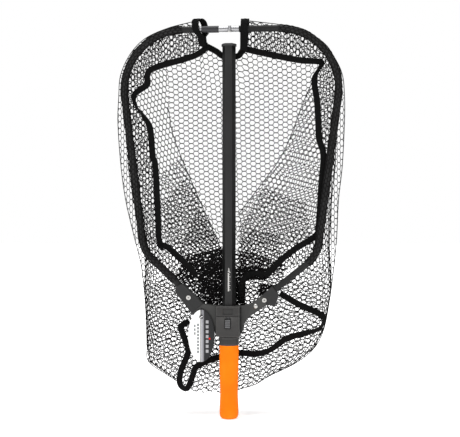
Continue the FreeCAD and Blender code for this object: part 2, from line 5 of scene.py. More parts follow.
import bpy
import numpy as np
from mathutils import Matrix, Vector


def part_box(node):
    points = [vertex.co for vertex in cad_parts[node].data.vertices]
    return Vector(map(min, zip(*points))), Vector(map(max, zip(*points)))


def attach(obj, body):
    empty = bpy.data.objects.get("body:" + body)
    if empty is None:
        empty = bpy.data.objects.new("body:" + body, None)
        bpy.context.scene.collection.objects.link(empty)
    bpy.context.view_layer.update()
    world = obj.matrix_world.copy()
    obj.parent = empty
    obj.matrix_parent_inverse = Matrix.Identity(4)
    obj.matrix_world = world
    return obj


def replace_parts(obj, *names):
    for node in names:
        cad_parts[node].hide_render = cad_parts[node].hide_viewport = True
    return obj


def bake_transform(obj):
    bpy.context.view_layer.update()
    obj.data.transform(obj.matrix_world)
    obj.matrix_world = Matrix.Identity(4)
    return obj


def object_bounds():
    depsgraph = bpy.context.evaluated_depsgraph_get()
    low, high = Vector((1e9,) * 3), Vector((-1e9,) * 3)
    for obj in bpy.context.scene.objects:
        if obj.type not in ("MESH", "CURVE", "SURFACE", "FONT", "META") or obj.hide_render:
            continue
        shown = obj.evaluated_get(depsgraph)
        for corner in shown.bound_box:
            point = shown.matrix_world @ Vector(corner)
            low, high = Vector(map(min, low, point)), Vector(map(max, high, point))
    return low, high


# Folding landing net. The handle stands on its butt, the hoop is in the XZ plane above it,
# and the net bag hangs behind the hoop, on the +Y side. Everything is in metres; the numbers
# given in millimetres are turned into metres by MM.

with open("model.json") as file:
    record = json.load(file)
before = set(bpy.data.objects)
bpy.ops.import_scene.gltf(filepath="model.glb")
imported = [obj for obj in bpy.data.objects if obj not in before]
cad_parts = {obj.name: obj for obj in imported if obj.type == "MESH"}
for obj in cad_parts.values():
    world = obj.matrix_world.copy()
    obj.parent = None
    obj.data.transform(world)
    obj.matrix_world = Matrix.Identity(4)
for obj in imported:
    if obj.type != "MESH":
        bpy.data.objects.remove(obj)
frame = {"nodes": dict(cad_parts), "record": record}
cad_low, cad_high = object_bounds()

MM = 0.001
rng = random.Random(7)

# --- camera -------------------------------------------------------------------------------

CAMERA_DISTANCE = 2.1
CAMERA_TURN = math.radians(6.0)
VIEW_WIDTH = 0.851
AIM = Vector((0.0018, 0.0, 0.370))

camera_data = bpy.data.cameras.new("camera")
camera_data.sensor_width = 36.0
camera_data.lens = 36.0 * CAMERA_DISTANCE / VIEW_WIDTH
camera = bpy.data.objects.new("camera", camera_data)
bpy.context.scene.collection.objects.link(camera)
away = Vector((math.sin(CAMERA_TURN), -math.cos(CAMERA_TURN), 0.0))
camera.location = AIM + away * CAMERA_DISTANCE
camera.rotation_euler = (-away).to_track_quat("-Z", "Y").to_euler()
bpy.context.scene.camera = camera

# --- materials ----------------------------------------------------------------------------


class Look:
    """A Principled material with a few short ways to add procedural detail."""

    def __init__(self, name, color, roughness, metallic=0.0, specular=0.5):
        self.material = bpy.data.materials.new(name)
        self.material.use_nodes = True
        self.tree = self.material.node_tree
        self.shader = self.tree.nodes["Principled BSDF"]
        self.shader.inputs["Base Color"].default_value = (*color, 1.0)
        self.shader.inputs["Roughness"].default_value = roughness
        self.shader.inputs["Metallic"].default_value = metallic
        self.shader.inputs["Specular IOR Level"].default_value = specular
        self.where = self.node("ShaderNodeTexCoord").outputs["Object"]

    def node(self, kind, **settings):
        made = self.tree.nodes.new(kind)
        for key, value in settings.items():
            setattr(made, key, value)
        return made

    def link(self, source, target):
        self.tree.links.new(source, target)

    def stretched(self, scale):
        """Object coordinates multiplied by a scale for each axis."""
        mapping = self.node("ShaderNodeMapping")
        mapping.inputs["Scale"].default_value = scale
        self.link(self.where, mapping.inputs["Vector"])
        return mapping.outputs["Vector"]

    def noise(self, scale, detail=4.0, stretch=(1, 1, 1)):
        made = self.node("ShaderNodeTexNoise")
        made.inputs["Scale"].default_value = scale
        made.inputs["Detail"].default_value = detail
        self.link(self.stretched(stretch), made.inputs["Vector"])
        return made.outputs["Fac"]

    def ramp(self, value, stops):
        made = self.node("ShaderNodeValToRGB")
        elements = made.color_ramp.elements
        while len(elements) < len(stops):
            elements.new(0.5)
        for element, (place, color) in zip(elements, stops):
            element.position = place
            element.color = (*color, 1.0) if len(color) == 3 else color
        self.link(value, made.inputs["Fac"])
        return made.outputs["Color"]

    def mix(self, factor, first, second):
        made = self.node("ShaderNodeMix", data_type="RGBA")
        for value, key in ((factor, 0), (first, 6), (second, 7)):
            if isinstance(value, tuple):
                made.inputs[key].default_value = (*value, 1.0)
            elif isinstance(value, float):
                made.inputs[key].default_value = value
            else:
                self.link(value, made.inputs[key])
        return made.outputs[2]

    def math(self, operation, first, second=None):
        made = self.node("ShaderNodeMath", operation=operation)
        for key, value in enumerate((first, second)):
            if value is None:
                continue
            if isinstance(value, (int, float)):
                made.inputs[key].default_value = value
            else:
                self.link(value, made.inputs[key])
        return made.outputs["Value"]

    def color(self, value):
        self.link(value, self.shader.inputs["Base Color"])
        return self

    def roughness(self, value, low, high):
        spread = self.node("ShaderNodeMapRange")
        spread.inputs["To Min"].default_value = low
        spread.inputs["To Max"].default_value = high
        self.link(value, spread.inputs["Value"])
        self.link(spread.outputs["Result"], self.shader.inputs["Roughness"])
        return self

    def bump(self, value, depth, strength=0.6):
        """Surface relief of the given depth in metres."""
        made = self.node("ShaderNodeBump")
        made.inputs["Strength"].default_value = strength
        made.inputs["Distance"].default_value = depth
        self.link(value, made.inputs["Height"])
        self.link(made.outputs["Normal"], self.shader.inputs["Normal"])
        return self

    def axis(self, name):
        split = self.node("ShaderNodeSeparateXYZ")
        self.link(self.where, split.inputs["Vector"])
        return split.outputs[name]

    def set(self, **values):
        for key, value in values.items():
            self.shader.inputs[key.replace("_", " ")].default_value = value
        return self


def shade(color, factor):
    return tuple(channel * factor for channel in color)


def worn_metal(name, color, roughness, scratch=(40, 40, 3), metallic=0.9, specular=0.5):
    look = Look(name, color, roughness, metallic, specular)
    grain = look.noise(60, 6, scratch)
    cloud = look.noise(9, 3)
    look.color(look.mix(look.ramp(cloud, [(0.35, (0, 0, 0)), (0.7, (1, 1, 1))]),
                        shade(color, 0.82), shade(color, 1.15)))
    look.roughness(grain, roughness - 0.08, roughness + 0.14)
    return look.bump(grain, 0.00003, 0.35)


def moulded(name, color, roughness, grain_scale=1800.0, depth=0.00006, specular=0.2):
    look = Look(name, color, roughness, specular=specular)
    grain = look.noise(grain_scale, 2)
    cloud = look.noise(30, 4)
    edge = look.node("ShaderNodeNewGeometry").outputs["Pointiness"]
    rubbed = look.ramp(edge, [(0.50, (0, 0, 0)), (0.56, (1, 1, 1))])
    body = look.mix(cloud, shade(color, 0.85), shade(color, 1.15))
    # painted shade: ambient occlusion within 5 mm darkens the base colour, down to 0.12 of it, in gaps
    # and recesses
    occlusion = look.node("ShaderNodeAmbientOcclusion", samples=8)
    occlusion.inputs["Distance"].default_value = 0.005
    painted_crevice_shade = look.ramp(occlusion.outputs["AO"], [(0.45, (1, 1, 1)), (0.95, (0, 0, 0))])
    look.color(look.mix(painted_crevice_shade, look.mix(rubbed, body, shade(color, 1.7)), shade(color, 0.12)))
    look.roughness(cloud, roughness - 0.07, roughness + 0.08)
    return look.bump(grain, depth, 0.5)


def grip_look():
    color = (0.985, 0.205, 0.003)
    look = Look("grip_rubber_look", color, 0.62, specular=0.08)
    cells = look.node("ShaderNodeTexVoronoi")
    cells.inputs["Scale"].default_value = 900.0
    look.link(look.where, cells.inputs["Vector"])
    cloud = look.noise(24, 5)
    soiled = look.ramp(cloud, [(0.30, shade(color, 0.84)), (0.55, color), (0.80, (1.0, 0.25, 0.012))])
    look.color(soiled)
    look.roughness(cloud, 0.55, 0.72)
    return look.bump(cells.outputs["Distance"], 0.00018, 0.45)


def netting_look():
    look = Look("netting_look", (0.006, 0.006, 0.006), 0.62, specular=0.08)
    fibre = look.noise(1500, 3)
    cloud = look.noise(14, 3)
    look.color(look.mix(cloud, (0.003, 0.003, 0.003), (0.010, 0.009, 0.009)))
    look.roughness(fibre, 0.5, 0.75)
    return look.bump(fibre, 0.0002, 0.5)


def webbing_look(name, color):
    """Ribbed webbing: fine ribs across the tape and a herringbone between them."""
    look = Look(name, color, 0.72, specular=0.05)
    uv = look.node("ShaderNodeTexCoord").outputs["UV"]
    waves = []
    for turn, scale in ((0.0, 420.0), (90.0, 300.0)):
        turned = look.node("ShaderNodeMapping")
        turned.inputs["Rotation"].default_value = (0, 0, math.radians(turn))
        look.link(uv, turned.inputs["Vector"])
        wave = look.node("ShaderNodeTexWave")
        wave.inputs["Scale"].default_value = scale
        wave.inputs["Distortion"].default_value = 1.2
        wave.inputs["Detail"].default_value = 2.0
        look.link(turned.outputs["Vector"], wave.inputs["Vector"])
        waves.append(wave.outputs["Fac"])
    weave = look.math("MULTIPLY", waves[0], waves[1])
    cloud = look.noise(30, 3)
    tone = look.mix(cloud, shade(color, 0.75), shade(color, 1.4))
    look.color(look.mix(weave, tone, shade(color, 2.2)))
    look.roughness(weave, 0.6, 0.85)
    return look.bump(weave, 0.0004, 0.8)


STRIPES_END = 4.7       # the black part of the card starts here
DOT_PLACE, DOT_RADIUS = (15.2, -5.0), 1.7


def tag_look():
    """Printed card: white with grey bars on the left, stripes, and black with pale bars and a dot
    on the right. Across and up are measured in millimetres from the card's middle."""
    look = Look("tag_print_look", (0.9, 0.9, 0.88), 0.4, specular=0.2)
    low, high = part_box("swing_tag")
    middle = (low + high) / 2
    across = look.math("SUBTRACT", look.axis("X"), middle.x)
    up = look.math("SUBTRACT", look.axis("Z"), middle.z)

    def between(value, low_edge, high_edge):
        above = look.math("GREATER_THAN", value, low_edge * MM)
        below = look.math("LESS_THAN", value, high_edge * MM)
        return look.math("MULTIPLY", above, below)

    def patch(x_low, x_high, z_low, z_high):
        return look.math("MULTIPLY", between(across, x_low, x_high), between(up, z_low, z_high))

    print_color = look.mix(look.noise(700, 3), (0.84, 0.84, 0.82), (0.90, 0.90, 0.88))
    for row in range(9):
        bottom = 18.0 - 6.2 * row
        print_color = look.mix(patch(-8.0, -4.4, bottom, bottom + 4.4), print_color,
                               (0.20, 0.21, 0.22))
    for row in range(3):
        print_color = look.mix(patch(-14.0, -10.8, 16.0 - 7.0 * row, 20.6 - 7.0 * row), print_color,
                               (0.24, 0.25, 0.26))
    dark = look.math("GREATER_THAN", across, STRIPES_END * MM)
    print_color = look.mix(dark, print_color, (0.016, 0.016, 0.017))
    for x_low, x_high, tone in ((-1.8, -0.2, 0.03), (-0.2, 2.1, 0.50), (2.1, 3.3, 0.06),
                                (3.3, 4.7, 0.25)):
        print_color = look.mix(between(across, x_low, x_high), print_color, (tone, tone, tone * 1.06))
    for row in range(7):
        bottom = -31.0 + 9.0 * row
        print_color = look.mix(patch(8.2, 13.2, bottom, bottom + 5.6), print_color, (0.36, 0.36, 0.37))
    dot = look.math("SQRT", look.math("ADD",
                    look.math("POWER", look.math("SUBTRACT", across, DOT_PLACE[0] * MM), 2.0),
                    look.math("POWER", look.math("SUBTRACT", up, DOT_PLACE[1] * MM), 2.0)))
    print_color = look.mix(look.math("LESS_THAN", dot, DOT_RADIUS * MM), print_color,
                           (0.75, 0.01, 0.005))
    look.color(print_color)
    look.set(Coat_Weight=0.06, Coat_Roughness=0.15)
    return look.bump(look.noise(260, 2), 0.00004, 0.3)


looks = {
    "anodised_tube": worn_metal("anodised_tube_look", (0.034, 0.034, 0.034), 0.36, (60, 60, 1.5)),
    "hoop_black": worn_metal("hoop_black_look", (0.016, 0.016, 0.016), 0.45, (30, 30, 30), 0.0, 0.12),
    "ferrule_metal": worn_metal("ferrule_look", (0.42, 0.42, 0.43), 0.30, (2, 60, 60), 1.0),
    "collar_grey": worn_metal("collar_look", (0.040, 0.040, 0.043), 0.36, (3, 60, 60), 0.6, 0.3),
    "yoke_plastic": moulded("yoke_look", (0.028, 0.028, 0.027), 0.50),
    "cover_plastic": moulded("cover_look", (0.033, 0.032, 0.031), 0.46),
    "socket_plastic": moulded("socket_look", (0.014, 0.014, 0.014), 0.52),
    "lever_plastic": moulded("lever_look", (0.060, 0.060, 0.062), 0.38, specular=0.4),
    "bushing_plastic": moulded("bushing_look", (0.10, 0.10, 0.10), 0.45),
    "cap_rubber": moulded("cap_look", (0.028, 0.028, 0.028), 0.66, 900.0, 0.0001),
    "rivet_steel": worn_metal("rivet_look", (0.50, 0.49, 0.47), 0.24, (20, 20, 20), 1.0),
    "spring_steel": worn_metal("spring_look", (0.50, 0.50, 0.50), 0.25, (60, 3, 3), 1.0),
    "tie_plastic": moulded("tie_look", (0.015, 0.015, 0.016), 0.40),
    "grip_rubber": grip_look(),
    "netting": netting_look(),
    "webbing": webbing_look("webbing_look", (0.0035, 0.0035, 0.0035)),
    "tag_card": tag_look(),
}

for subpart in frame["record"]["subparts"]:
    node = frame["nodes"][subpart["node"]]
    node.data.materials.clear()
    node.data.materials.append(looks[subpart["material_slot"]].material)
frame["nodes"]["tag_eyelet"].data.materials[0] = worn_metal(
    "eyelet_look", (0.10, 0.10, 0.10), 0.35, (20, 20, 20), 0.8).material


def new_piece(name, points, faces, slot_name, smooth=True, uv=None):
    """A mesh object from points in metres."""
    mesh = bpy.data.meshes.new(name)
    mesh.from_pydata([tuple(p) for p in points], [], faces)
    mesh.validate()
    if uv is not None:
        layer = mesh.uv_layers.new(name="UVMap")
        spots = np.array([uv[loop.vertex_index] for loop in mesh.loops], np.float32)
        layer.data.foreach_set("uv", spots.ravel())
    if smooth:
        mesh.shade_smooth()
    mesh.materials.append(looks[slot_name].material)
    piece = bpy.data.objects.new(name, mesh)
    bpy.context.scene.collection.objects.link(piece)
    return piece


# --- plane geometry -----------------------------------------------------------------------


ARC_STEP = 4.0          # between the points of an arc


def rounded_route(points, radii):
    """Points along straight runs joined by arcs, in millimetres in the XZ plane."""
    route = [np.array(points[0], float)]
    for i in range(1, len(points) - 1):
        corner = np.array(points[i], float)
        back = np.array(points[i - 1], float) - corner
        ahead = np.array(points[i + 1], float) - corner
        back /= np.linalg.norm(back)
        ahead /= np.linalg.norm(ahead)
        half_turn = math.acos(max(-1.0, min(1.0, -float(back @ ahead)))) / 2
        reach = radii[i] * math.tan(half_turn)
        inward = (back + ahead) / np.linalg.norm(back + ahead)
        centre = corner + inward * radii[i] / math.cos(half_turn)
        first, last = corner + back * reach - centre, corner + ahead * reach - centre
        count = max(3, int(2 * half_turn * radii[i] / ARC_STEP))
        turn = math.atan2(first[0] * last[1] - first[1] * last[0], float(first @ last))
        for k in range(count + 1):
            a = turn * k / count
            route.append(centre + np.array([first[0] * math.cos(a) - first[1] * math.sin(a),
                                            first[0] * math.sin(a) + first[1] * math.cos(a)]))
    route.append(np.array(points[-1], float))
    return np.array(route)


def inside(polygon, x, z):
    """Which of the points are inside the polygon."""
    result = np.zeros(np.shape(x), bool)
    count = len(polygon)
    for i in range(count):
        xa, za = polygon[i]
        xb, zb = polygon[(i + 1) % count]
        if za == zb:
            continue
        crosses = (za > z) != (zb > z)
        result ^= crosses & (x < (xb - xa) * (z - za) / (zb - za) + xa)
    return result


def smooth_step(value):
    t = np.clip(value, 0.0, 1.0)
    return t * t * (3 - 2 * t)


def smooth_line(points, step):
    """A smooth curve through the points, in any number of coordinates."""
    points = np.array(points, float)
    padded = np.vstack([2 * points[0] - points[1], points, 2 * points[-1] - points[-2]])
    line = []
    for i in range(1, len(padded) - 2):
        a, b, c, d = padded[i - 1:i + 3]
        count = max(2, int(np.linalg.norm((c - b)[:3]) / step))
        for k in range(count):
            t = k / count
            line.append(0.5 * (2 * b + (c - a) * t + (2 * a - 5 * b + 4 * c - d) * t * t
                               + (3 * b - a - 3 * c + d) * t ** 3))
    line.append(points[-1])
    return np.array(line)


left_tube = rounded_route([(-56.0, 720.5), (-211.5, 720.5), (-160.0, 309.0), (-104.0, 258.0),
                           (-68.0, 214.5)], [0, 111.0, 60.0, 90.0, 0])
right_tube = rounded_route([(18.5, 720.5), (217.7, 720.5), (162.4, 301.6), (62.5, 221.0)],
                           [0, 111.0, 60.0, 0])
mouth = [tuple(p) for p in left_tube] + [(-47.0, 203.0), (-20.0, 190.0), (20.0, 190.0),
                                         (49.0, 208.0)] + [tuple(p) for p in right_tube[::-1]]

# --- netting ------------------------------------------------------------------------------

CELL_WIDTH = 9.1        # from one column of cells to the next
CELL_HEIGHT = 9.7       # from one cell to the one above it
STRAND = 0.62           # half thickness of the slanting strands
BAR = 0.92              # half thickness of the level double strands
JITTER = 0.35           # how far the corners stray from an even pattern
CORD_SIDES = 6          # sides of a seam cord


def honeycomb(low, high, matrix):
    """Corner points and strands of a honeycomb with level bars that covers a rectangle."""
    matrix = np.array(matrix, float)
    inverse = np.linalg.inv(matrix)
    corners = np.array([(x, z) for x in (low[0], high[0]) for z in (low[1], high[1])])
    local = corners @ inverse.T
    tip = CELL_WIDTH / 1.5
    first = np.floor(local.min(0) / (CELL_WIDTH, CELL_HEIGHT)).astype(int) - 2
    last = np.ceil(local.max(0) / (CELL_WIDTH, CELL_HEIGHT)).astype(int) + 2
    index, places, strands = {}, [], []

    def corner(column, row, side):
        key = (column, row, side)
        if key not in index:
            index[key] = len(places)
            height = (row + 0.5 * (column % 2)) * CELL_HEIGHT
            places.append((column * CELL_WIDTH + side * tip, height))
        return index[key]

    for column in range(first[0], last[0]):
        for row in range(first[1], last[1]):
            start = corner(column, row, 1)
            up = row + column % 2
            strands.append((start, corner(column + 1, up, -1), STRAND))
            strands.append((start, corner(column + 1, up - 1, -1), STRAND))
            strands.append((start, corner(column + 2, row, -1), BAR))
    return np.array(places) @ matrix.T, strands


def cut_net(places, strands, keep):
    """The strands in the kept region; those that cross its edge are cut there."""
    is_in = keep(places[:, 0], places[:, 1])
    places = [tuple(p) for p in places]
    kept, crossing = [], []
    for a, b, radius in strands:
        if is_in[a] and is_in[b]:
            kept.append((a, b, radius))
        elif is_in[a] or is_in[b]:
            crossing.append((a, b, radius) if is_in[a] else (b, a, radius))
    if crossing:
        good = np.array([places[a] for a, _, _ in crossing])
        bad = np.array([places[b] for _, b, _ in crossing])
        for _ in range(10):
            middle = (good + bad) / 2
            ok = keep(middle[:, 0], middle[:, 1])[:, None]
            good, bad = np.where(ok, middle, good), np.where(ok, bad, middle)
        for (a, _, radius), end in zip(crossing, good):
            if np.hypot(*(end - places[a])) > 0.8:
                kept.append((a, len(places), radius))
                places.append(tuple(end))
    return np.array(places), kept


def strand_mesh(places, normals, flat, strands):
    """Four-sided strands joined at their corners into one closed mesh. Millimetres."""
    neighbours = {}
    for a, b, radius in strands:
        neighbours.setdefault(a, []).append((b, radius))
        neighbours.setdefault(b, []).append((a, radius))
    points, faces, tops, bottoms, sides = [], [], {}, {}, {}
    for here, around in neighbours.items():
        spot, normal = places[here], normals[here]
        thick = max(r for _, r in around)
        tops[here] = len(points)
        points.append(spot + normal * thick)
        bottoms[here] = len(points)
        points.append(spot - normal * thick)
        order = []
        for other, radius in around:
            step = flat[other] - flat[here]
            run = places[other] - spot
            run = run - normal * (run @ normal)
            length = np.linalg.norm(run)
            run = run / length if length > 1e-9 else np.array([1.0, 0, 0])
            order.append((math.atan2(step[1], step[0]), other, radius, run))
        order.sort(key=lambda item: item[0])
        if len(order) == 1:
            _, other, radius, run = order[0]
            across = np.cross(normal, run) * radius
            left, right = len(points), len(points) + 1
            points.extend([spot + across, spot - across])
            sides[here, other] = (left, right)
            faces.append((tops[here], left, bottoms[here], right))
            continue
        made = []
        for k, (angle, other, radius, run) in enumerate(order):
            next_angle, _, next_radius, next_run = order[(k + 1) % len(order)]
            gap = (next_angle - angle) % (2 * math.pi)
            sine = float(np.cross(run, next_run) @ normal)
            if abs(sine) < 0.25 or (gap > math.pi) != (sine < 0):
                offset = np.cross(normal, run) * radius
            else:
                offset = (run * next_radius + next_run * radius) / sine
            length = np.linalg.norm(offset)
            limit = 2.2 * max(radius, next_radius)
            if length > limit:
                offset = offset * (limit / length)
            made.append(len(points))
            points.append(spot + offset)
        for k, item in enumerate(order):
            sides[here, item[1]] = (made[k], made[k - 1])
    for a, b, _ in strands:
        left_a, right_a = sides[a, b]
        right_b, left_b = sides[b, a]
        faces.append((tops[a], left_a, left_b, tops[b]))
        faces.append((left_a, bottoms[a], bottoms[b], left_b))
        faces.append((bottoms[a], right_a, right_b, bottoms[b]))
        faces.append((right_a, tops[a], tops[b], right_b))
    return points, faces


def weave_net(surface, keep, low, high, matrix=((1, 0), (0, 1)), thickness=1.0):
    """A piece of netting on a surface. surface turns flat places into points; both in mm."""
    flat, strands = honeycomb(low, high, matrix)
    flat = flat + np.array([[rng.uniform(-JITTER, JITTER) for _ in range(2)] for _ in flat])
    flat, strands = cut_net(flat, strands, keep)
    strands = [(a, b, r * thickness) for a, b, r in strands]
    nudge = 0.5
    places = surface(flat[:, 0], flat[:, 1])
    along = surface(flat[:, 0] + nudge, flat[:, 1]) - places
    up = surface(flat[:, 0], flat[:, 1] + nudge) - places
    normals = np.cross(along, up)
    normals /= np.maximum(np.linalg.norm(normals, axis=1), 1e-9)[:, None]
    return strand_mesh(places, normals, flat, strands)


def strand_along(line, radius):
    """A closed round strand along a line of points, in millimetres."""
    line = np.array(line, float)
    points, faces = [], []
    for i, spot in enumerate(line):
        run = line[min(i + 1, len(line) - 1)] - line[max(i - 1, 0)]
        run /= np.linalg.norm(run)
        side = np.cross(run, (0.0, 1.0, 0.0))
        side /= max(np.linalg.norm(side), 1e-9)
        other = np.cross(side, run)
        for k in range(CORD_SIDES):
            a = 2 * math.pi * k / CORD_SIDES
            points.append(spot + radius * (side * math.cos(a) + other * math.sin(a)))
    for i in range(len(line) - 1):
        for k in range(CORD_SIDES):
            a, b = i * CORD_SIDES + k, i * CORD_SIDES + (k + 1) % CORD_SIDES
            faces.append((a, b, b + CORD_SIDES, a + CORD_SIDES))
    faces.append(tuple(range(CORD_SIDES)))
    faces.append(tuple(len(points) - 1 - k for k in range(CORD_SIDES)))
    return points, faces


def join(parts):
    """Several (points, faces) as one."""
    points, faces = [], []
    for more_points, more_faces in parts:
        base = len(points)
        points.extend(more_points)
        faces.extend(tuple(base + i for i in face) for face in more_faces)
    return np.array(points), faces


# The bag's outline at each height: height, left edge, right edge, front, back
bag_rows = np.array([
    (45.0, -62.0, -14.0, 23.5, 24.5),
    (49.0, -84.0, 12.0, 25.0, 40.0),
    (60.0, -96.0, 47.0, 25.6, 60.0),
    (76.0, -121.0, 73.0, 25.6, 82.0),
    (100.0, -156.0, 121.0, 25.6, 100.0),
    (128.0, -159.0, 156.0, 25.6, 114.0),
    (165.0, -160.0, 175.0, 25.6, 122.0),
    (223.0, -163.0, 186.0, 25.4, 124.0),
    (276.0, -168.0, 193.0, 20.0, 120.0),
    (303.0, -173.0, 196.0, 15.5, 115.0),
    (340.0, -182.0, 199.0, 12.6, 108.0),
    (404.0, -197.0, 202.0, 12.4, 97.0),
    (467.0, -206.0, 209.0, 12.4, 86.0),
    (548.0, -212.0, 213.0, 12.4, 74.0),
    (597.0, -210.5, 213.0, 12.4, 66.0),
    (639.0, -207.0, 208.0, 12.4, 58.0),
    (678.0, -189.0, 187.0, 12.4, 48.0),
    (707.0, -161.0, 156.0, 12.4, 36.0),
    (726.0, -118.0, 110.0, 12.4, 24.0),
    (737.0, -72.0, 38.0, 12.0, 14.0),
])
FRONT_BULGE = 5.0
top_edge = np.array([(-212, 560), (-207, 639), (-189, 678), (-161, 707), (-118, 727), (-72, 737),
                     (-57, 737), (-54, 695), (-38, 690), (-26, 683), (-11, 675), (14, 674),
                     (19, 679), (23, 690), (25, 735), (38, 735), (92, 728), (127, 720), (156, 704),
                     (187, 674), (208, 639), (213, 560)], float)
fold_left = np.array([(-21, 297), (-106, 504), (-123, 581), (-124, 640), (-124, 800)], float)
fold_right = np.array([(7, 377), (82, 473), (109, 522), (131, 579), (152, 626), (154, 800)], float)
OVERHANG = 13.0         # how far the front netting stands out past the side walls, round the hoop


def row_value(z, column):
    return np.interp(z, bag_rows[:, 0], bag_rows[:, column])


def side_edges(z):
    """The x of the left and right side walls at a height."""
    inset = OVERHANG * smooth_step((z - 225.0) / 110.0)
    return row_value(z, 1) + inset, row_value(z, 2) - inset


def bag_surface(s, z):
    """The bag's back and sides. s is measured round the bag from the middle of its back."""
    s, z = np.array(s, float), np.array(z, float)
    left, right = side_edges(z)
    front, back = row_value(z, 3), row_value(z, 4)
    middle, half = (left + right) / 2, (right - left) / 2
    phi = np.linspace(0, math.pi / 2, 61)
    x = half[:, None] * np.abs(np.sin(phi)) ** (2 / 2.3)
    y = front[:, None] - 0.6 + (back - front)[:, None] * np.abs(np.cos(phi)) ** (2 / 2.3)
    steps = np.hypot(np.diff(x, axis=1), np.diff(y, axis=1))
    arc = np.concatenate([np.zeros((len(s), 1)), np.cumsum(steps, axis=1)], axis=1)
    reach = np.minimum(np.abs(s), arc[:, -1])
    place = np.array([(np.interp(r, a, px), np.interp(r, a, py))
                      for r, a, px, py in zip(reach, arc, x, y)])
    px, py = middle + np.sign(s) * place[:, 0], place[:, 1]
    room = np.interp(px, top_edge[:, 0], top_edge[:, 1]) - z
    py = front - 0.6 + (py - front + 0.6) * smooth_step(room / 90.0)
    py = np.maximum(py, 15.4 - 0.004 * px ** 2)     # clear of the handle tube
    sway = 2.2 * np.sin(px / 37 + 1.3 * np.sin(z / 53)) * np.sin(z / 61 + px / 90)
    return np.stack([px, py + sway * smooth_step((py - front - 4) / 25.0), z], axis=1)


def back_reach(s, z):
    """True where s is on the back, between the two fold lines."""
    return (s > np.interp(z, fold_left[:, 1], fold_left[:, 0])) & \
           (s < np.interp(z, fold_right[:, 1], fold_right[:, 0]))


def bag_keep(s, z):
    spot = bag_surface(s, z)
    left, right = side_edges(z)
    near_edge = np.minimum(spot[:, 0] - left, right - spot[:, 0]) < 0.15
    return (z > 46) & (z < 736) & ~near_edge & \
           (z < np.interp(spot[:, 0], top_edge[:, 0], top_edge[:, 1]))


def front_depth(x, z):
    """The y of the front netting, which rounds back towards the bag's outline."""
    left, right = row_value(z, 1), row_value(z, 2)
    share = np.clip(np.abs(x - (left + right) / 2) / ((right - left) / 2), 0, 1)
    return row_value(z, 3) - FRONT_BULGE * (1 - share ** 4.5) ** (1 / 4.5)


bag_outline = [(row[1], row[0]) for row in bag_rows] + [(row[2], row[0]) for row in bag_rows[::-1]]


def front_keep(x, z):
    return inside(bag_outline, x, z) & ~inside(mouth, x, z) & \
        (z < np.interp(x, top_edge[:, 0], top_edge[:, 1]))


# the back between the fold lines, and the narrower, sheared cells of the sides
net_parts = [
    weave_net(bag_surface, lambda s, z: bag_keep(s, z) & back_reach(s, z), (-420, 44), (420, 738)),
    weave_net(bag_surface, lambda s, z: bag_keep(s, z) & ~back_reach(s, z) & (s < 0),
              (-420, 44), (5, 738), ((0.70, 0.12), (-0.30, 1.08)), thickness=1.1),
    weave_net(bag_surface, lambda s, z: bag_keep(s, z) & ~back_reach(s, z) & (s > 0),
              (-5, 44), (420, 738), ((0.92, -0.16), (0.28, 1.12)), thickness=0.9),
]


def polygon_surface(depth):
    """A sheet over the XZ plane with its y given by a function of x and z."""
    def surface(x, z):
        return np.stack([x, depth(np.asarray(x, float), np.asarray(z, float)), z], axis=1)
    return surface


def lower_depth(x, z):
    return front_depth(x, z) + 9.0 + 3.0 * np.sin(x / 23 + z / 31)


# The front netting has level cells low down, upright ones beside the hoop and flat ones over it.
SIDES_START, BROW_START = 255, 640
# a second layer, where the slack bottom of the bag lies double
lower_layer = [(-98, 80), (-149, 108), (-154, 170), (-158, 240), (-110, 262), (-60, 222), (-30, 205),
               (30, 205), (70, 225), (130, 275), (178, 290), (176, 215), (165, 165), (145, 132),
               (100, 98), (40, 66)]
net_parts += [
    weave_net(polygon_surface(front_depth), lambda x, z: front_keep(x, z) & (z < SIDES_START),
              (-220, 44), (220, 260), ((1.0, 0.14), (-0.12, 0.88)), thickness=1.12),
    weave_net(polygon_surface(lower_depth), lambda x, z: inside(lower_layer, x, z),
              (-220, 60), (220, 330), ((0.98, -0.22), (0.2, 0.96)), thickness=0.98),
    weave_net(polygon_surface(front_depth),
              lambda x, z: front_keep(x, z) & (z >= SIDES_START) & (z < BROW_START),
              (-220, 250), (220, 650), ((0.60, 0.0), (0.0, 1.25)), thickness=0.9),
    weave_net(polygon_surface(front_depth), lambda x, z: front_keep(x, z) & (z >= BROW_START),
              (-220, 630), (220, 740), ((0.95, 0.1), (-0.1, 0.66)), thickness=0.9),
]

# the mouth tapes' routes, from the tip of the hoop down to the yoke
rim_left = [(-38.0, 692.0), (-66.0, 673.0), (-139.5, 652.0), (-154.5, 638.0), (-155.0, 621.0),
            (-178.0, 603.0), (-177.0, 582.0), (-160.5, 561.0), (-151.0, 544.0), (-147.5, 527.0),
            (-144.0, 486.0), (-139.5, 469.0), (-135.0, 393.0), (-131.0, 322.0), (-118.0, 318.0),
            (-78.0, 282.0), (-61.0, 262.0)]
rim_right = [(26.0, 687.0), (42.0, 681.0), (124.0, 663.0), (169.0, 658.0), (166.0, 646.0),
             (160.5, 636.0), (157.0, 622.0), (162.0, 589.0), (164.5, 548.0), (166.0, 517.0),
             (174.0, 486.0), (170.0, 430.0), (165.0, 357.0), (158.0, 337.0), (111.0, 306.0),
             (65.0, 262.0)]


def nearness(points):
    """A function giving the distance in mm from a broken line."""
    points = np.array(points, float)

    def distance(x, z):
        best = np.full(np.shape(x), 1e9)
        for (xa, za), (xb, zb) in zip(points, points[1:]):
            run = np.array([xb - xa, zb - za])
            t = np.clip(((x - xa) * run[0] + (z - za) * run[1]) / (run @ run), 0, 1)
            best = np.minimum(best, np.hypot(x - xa - t * run[0], z - za - t * run[1]))
        return best
    return distance


